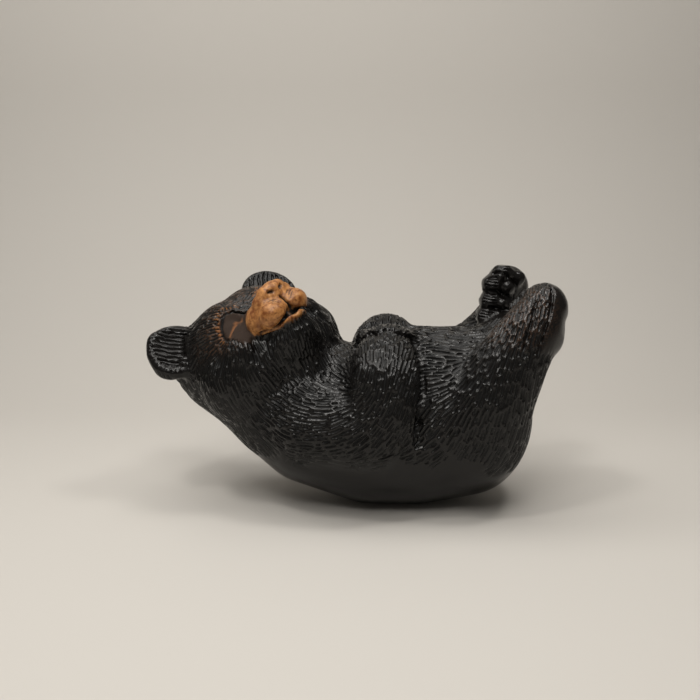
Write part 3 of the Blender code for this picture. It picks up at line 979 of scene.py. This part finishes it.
# %% The glaze's parts
material = bpy.data.materials.new("glazed_ceramic_black")
material.use_nodes = True
sheet = material.node_tree
shader = sheet.nodes["Principled BSDF"]


def colour(code):
    """A hex code such as B07A48 as linear red, green, blue and alpha."""
    parts = [int(code[at:at + 2], 16) / 255 for at in (0, 2, 4)]
    linear = [part / 12.92 if part <= 0.04045 else ((part + 0.055) / 1.055) ** 2.4 for part in parts]
    return (*linear, 1.0)


def add(kind, settings=(), values=(), links=()):
    """Adds one node, sets it up and links its inputs. A link is (input, source node, output)."""
    node = sheet.nodes.new(kind)
    for name, value in dict(settings).items():
        setattr(node, name, value)
    for name, value in dict(values).items():
        node.inputs[name].default_value = value
    for name, source, output in links:
        sheet.links.new(source.outputs[output], node.inputs[name])
    return node


where = add("ShaderNodeTexCoord")
fact = {}
for name in ("groove", "crease_shade", "tan", "brown", "orange", "lid"):
    fact[name] = add("ShaderNodeAttribute", {"attribute_name": name})
# Three patterns, each given by how wide its blotches are: clouds in the glaze, mottling on the
# snout and the speckle of a dry brush.
pattern = {}
for name, width, detail in (("clouds", 12.0, 3.0), ("mottle", 3.0, 5.0), ("speckle", 1.25, 2.0)):
    values = {"Scale": 1 / (width * MM), "Detail": detail, "Roughness": 0.6}
    pattern[name] = add("ShaderNodeTexNoise", values=values, links=[("Vector", where, "Object")])
print("patterns:", ", ".join(pattern))

# %% [markdown]
# The colour is built in layers, mostly in the order in which they were painted. First comes the
# black, darkened in the grooves as painted shade. Then the brown and the orange are dry-brushed on
# the ridges, the brown on the hind legs partly a painted sheen, then come the lids and the tan
# snout, and last the carved lines, darkened with painted shade.

# %% The glaze's colour
# A Mix node of colours has its factor at input 0, its colours at 6 and 7, its result at output 2.
COLOURS = {"data_type": "RGBA"}
values = {6: colour("0D0C0C"), 7: colour("171513")}
black = add("ShaderNodeMix", COLOURS, values, [(0, pattern["clouds"], "Fac")])
# Painted shade: the black darkens to near black the deeper a point lies in a groove.
black = add("ShaderNodeMix", COLOURS, {7: colour("020202")}, [(0, fact["groove"], "Fac"), (6, black, 2)])
ridges = add(
    "ShaderNodeMapRange", values={"From Min": 0.1, "From Max": 0.6, "To Min": 1.0, "To Max": 0.0},
    links=[("Value", fact["groove"], "Fac")],
)
brushed = add(
    "ShaderNodeMapRange", values={"From Min": 0.38, "From Max": 0.62},
    links=[("Value", pattern["speckle"], "Fac")],
)
brushed = add("ShaderNodeMath", {"operation": "MULTIPLY"}, links=[(0, ridges, 0), (1, brushed, 0)])
coat = black
# Brown and orange, brushed on the ridges. On the hind legs the brown is partly a painted sheen.
for name, code in (("brown", "4E392B"), ("orange", "94602F")):
    amount = add("ShaderNodeMath", {"operation": "MULTIPLY"}, links=[(0, fact[name], "Fac"), (1, brushed, 0)])
    coat = add("ShaderNodeMix", COLOURS, {7: colour(code)}, [(0, amount, 0), (6, coat, 2)])
lid = add("ShaderNodeMix", COLOURS, {6: colour("2A1C12"), 7: colour("8A5A34")}, [(0, fact["orange"], "Fac")])
coat = add("ShaderNodeMix", COLOURS, links=[(0, fact["lid"], "Fac"), (6, coat, 2), (7, lid, 2)])
blotches = add(
    "ShaderNodeMapRange", values={"From Min": 0.34, "From Max": 0.66},
    links=[("Value", pattern["mottle"], "Fac")],
)
snout = add("ShaderNodeMix", COLOURS, {6: colour("6F3D18"), 7: colour("BD854E")}, [(0, blotches, 0)])
freckles = add(
    "ShaderNodeMapRange", values={"From Min": 0.55, "From Max": 0.72, "To Max": 0.75},
    links=[("Value", pattern["speckle"], "Fac")],
)
snout = add("ShaderNodeMix", COLOURS, {7: colour("532C12")}, [(0, freckles, 0), (6, snout, 2)])
whole = add("ShaderNodeMix", COLOURS, links=[(0, fact["tan"], "Fac"), (6, coat, 2), (7, snout, 2)])
# Painted shade: the carved lines and creases are darkened to near black.
whole = add("ShaderNodeMix", COLOURS, {7: colour("070403")}, [(0, fact["crease_shade"], "Fac"), (6, whole, 2)])
sheet.links.new(whole.outputs[2], shader.inputs["Base Color"])
print("nodes so far:", len(sheet.nodes))

# %% [markdown]
# How a glaze shines says more than its colour. The black is sharp on the ridges, so that each one
# carries its own small light, and duller in the grooves. The snout and the lids are satin.
# Glaze never lies quite flat over carving either, so a faint bump makes ripples in it.

# %% The glaze's shine
# In millimetres.
RIPPLE_WIDTH = 0.8
RIPPLE_HEIGHT = 0.1
# A little under the usual 0.5, which keeps the black dark between its highlights.
GLAZE_GLOSS = 0.32
# Each row says how rough the glaze is at 0 and at 1 of what it follows. The roughest row wins.
SHINE = (
    (pattern["clouds"], 0.3, 0.7, 0.17, 0.27), (fact["groove"], 0.0, 1.0, 0.0, 0.5),
    (fact["tan"], 0.0, 1.0, 0.0, 0.40), (fact["lid"], 0.0, 1.0, 0.0, 0.8),
    (fact["brown"], 0.0, 1.0, 0.0, 0.38),
)
rough = None
for source, low, high, smooth_end, rough_end in SHINE:
    values = {"From Min": low, "From Max": high, "To Min": smooth_end, "To Max": rough_end}
    row = add("ShaderNodeMapRange", values=values, links=[("Value", source, "Fac")])
    if rough is None:
        rough = row
    else:
        rough = add("ShaderNodeMath", {"operation": "MAXIMUM"}, links=[(0, rough, 0), (1, row, 0)])
sheet.links.new(rough.outputs[0], shader.inputs["Roughness"])
values = {"Scale": 1 / (RIPPLE_WIDTH * MM)}
ripples = add("ShaderNodeTexNoise", values=values, links=[("Vector", where, "Object")])
bump = add(
    "ShaderNodeBump", values={"Strength": 0.6, "Distance": RIPPLE_HEIGHT * MM},
    links=[("Height", ripples, "Fac")],
)
sheet.links.new(bump.outputs["Normal"], shader.inputs["Normal"])
shader.inputs["Specular IOR Level"].default_value = GLAZE_GLOSS
cub.data.materials.clear()
cub.data.materials.append(material)
print("material:", material.name)

# %% [markdown]
# The set is a plain pale floor that curves up into a wall, like a roll of paper. A long sweep
# leaves no line between floor and wall.

# %% Floor and backdrop
FLOOR_WIDTH = 2.4
FLOOR_FRONT = -0.9
SWEEP_RADIUS = 0.25
SWEEP_STEPS = 16
WALL_AT = 0.42
WALL_TOP = 1.3


def backdrop():
    """A sheet of matt paper, flat and then curved up behind."""
    start = WALL_AT - SWEEP_RADIUS
    profile = [(FLOOR_FRONT, 0.0), (start, 0.0)]
    for step in range(1, SWEEP_STEPS + 1):
        angle = math.radians(90 * step / SWEEP_STEPS)
        profile.append((start + SWEEP_RADIUS * math.sin(angle), SWEEP_RADIUS * (1 - math.cos(angle))))
    profile.append((WALL_AT, WALL_TOP))
    corners = [(x * FLOOR_WIDTH / 2, y, z) for y, z in profile for x in (-1, 1)]
    faces = [(2 * at, 2 * at + 1, 2 * at + 3, 2 * at + 2) for at in range(len(profile) - 1)]
    mesh = bpy.data.meshes.new("backdrop")
    mesh.from_pydata(corners, [], faces)
    mesh.shade_smooth()
    paper = bpy.data.materials.new("matt_paper")
    paper.use_nodes = True
    paper.node_tree.nodes["Principled BSDF"].inputs["Base Color"].default_value = colour("C7C3BD")
    paper.node_tree.nodes["Principled BSDF"].inputs["Roughness"].default_value = 0.9
    mesh.materials.append(paper)
    roll = bpy.data.objects.new("backdrop", mesh)
    bpy.context.scene.collection.objects.link(roll)
    return roll


backdrop()
print("floor:", FLOOR_WIDTH, "m wide")

# %% [markdown]
# The light has to be soft, because a glossy black thing shows the eye little but what it mirrors. A
# wide lamp above and panels at the left and in front draw the forms, and two smaller lamps give
# the glints on the strokes. Area lamps are used, because their size sets how soft the shadows are.

# %% Light
# Name, place, side of the square lamp in metres, and watts.
LAMPS = (
    ("ceiling", (-0.06, -0.02, 0.80), 0.60, 2.8), ("left_panel", (-0.42, -0.02, 0.62), 0.30, 0.8),
    ("front_panel", (-0.06, -0.42, 0.52), 0.24, 1.3),
    ("front_strip", (-0.14, -0.24, 0.55), 0.07, 0.6), ("right_strip", (0.22, -0.10, 0.55), 0.10, 0.6),
)
AIM = Vector((0.0, 0.0, 0.05))
LAMP_TINT = "FFFCF7"
WORLD_TINT = "D8D4CE"
WORLD_STRENGTH = 0.18

for name, place, side, watts in LAMPS:
    light = bpy.data.lights.new(name, "AREA")
    light.shape = "SQUARE"
    light.size = side
    light.energy = watts
    light.color = colour(LAMP_TINT)[:3]
    holder = bpy.data.objects.new(name, light)
    bpy.context.scene.collection.objects.link(holder)
    holder.location = place
    holder.rotation_euler = (Vector(place) - AIM).to_track_quat("Z", "Y").to_euler()
world = bpy.data.worlds.new("studio")
world.use_nodes = True
world.node_tree.nodes["Background"].inputs["Color"].default_value = colour(WORLD_TINT)
world.node_tree.nodes["Background"].inputs["Strength"].default_value = WORLD_STRENGTH
bpy.context.scene.world = world
bpy.context.scene.view_settings.view_transform = "Standard"
print("lamps:", len(LAMPS))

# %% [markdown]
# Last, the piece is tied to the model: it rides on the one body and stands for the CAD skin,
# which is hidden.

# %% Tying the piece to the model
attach(cub, "root")
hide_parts("bear_cub")
